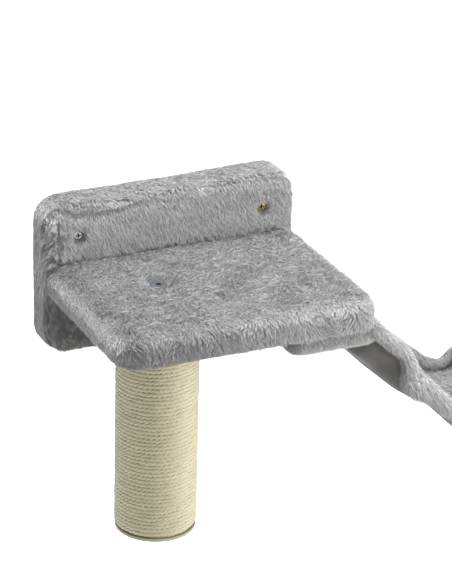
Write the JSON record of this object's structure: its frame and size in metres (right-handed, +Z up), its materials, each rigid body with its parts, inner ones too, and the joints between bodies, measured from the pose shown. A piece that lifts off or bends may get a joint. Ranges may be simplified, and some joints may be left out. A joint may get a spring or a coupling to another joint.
{
  "type": "cat wall furniture",
  "caption": "Plush-covered wall shelves for a cat, with a hammock slung between them and a sisal scratching post hanging from one of them.",
  "frame": {"origin": "on the wall, midway between the left shelf's two wall screws", "axes": "+X right along the wall, +Y into the wall, +Z up"},
  "size_m": [0.858, 0.277, 0.327],
  "materials": {
    "plush": "light grey long-pile plush",
    "backing": "smooth dark grey cloth",
    "board": "bare particle board",
    "dowel_wood": "fluted beech",
    "steel": "bright zinc plate",
    "yellow_zinc": "yellow zinc plate",
    "tube": "wound paper tube",
    "sisal": "pale natural sisal rope",
    "cap_plastic": "matt dark grey"
  },
  "bodies": {
    "shelves": {"left_back_board": "board", "left_back_cover": "plush", "left_back_staples": "steel", "left_platform_board": "board", "left_platform_cover": "plush", "left_platform_staples": "steel", "left_shelf_screws": "steel", "left_dowels": "dowel_wood", "left_end_board": "board", "left_end_board_cover": "plush", "left_end_board_screws": "steel", "right_back_board": "board", "right_back_cover": "plush", "right_back_staples": "steel", "right_platform_board": "board", "right_platform_cover": "plush", "right_platform_staples": "steel", "right_shelf_screws": "steel", "right_dowels": "dowel_wood", "right_end_board": "board", "right_end_board_cover": "plush", "right_end_board_screws": "steel", "left_wall_screw_zinc": "steel", "left_wall_screw_brass": "yellow_zinc", "right_wall_screws": "steel", "post_tube": "tube", "post_top_plug": "board", "post_bottom_plug": "board", "post_top_insert": "steel", "post_bottom_insert": "steel", "post_bolt": "steel", "post_washer": "steel", "post_end_cap": "cap_plastic", "sisal_winding": "sisal", "sisal_sleeve": "sisal"},
    "hammock": {"hammock_bed": "plush", "hammock_backing": "backing", "hammock_front_hem": "plush", "hammock_rear_hem": "plush"}
  },
  "joints": [
    {"name": "hammock_sway", "type": "hinge", "parent": "shelves", "child": "hammock", "pos_m": [0.295, -0.147, -0.0715], "axis": [1, 0, 0], "range_deg": [-8, 8]}
  ]
}
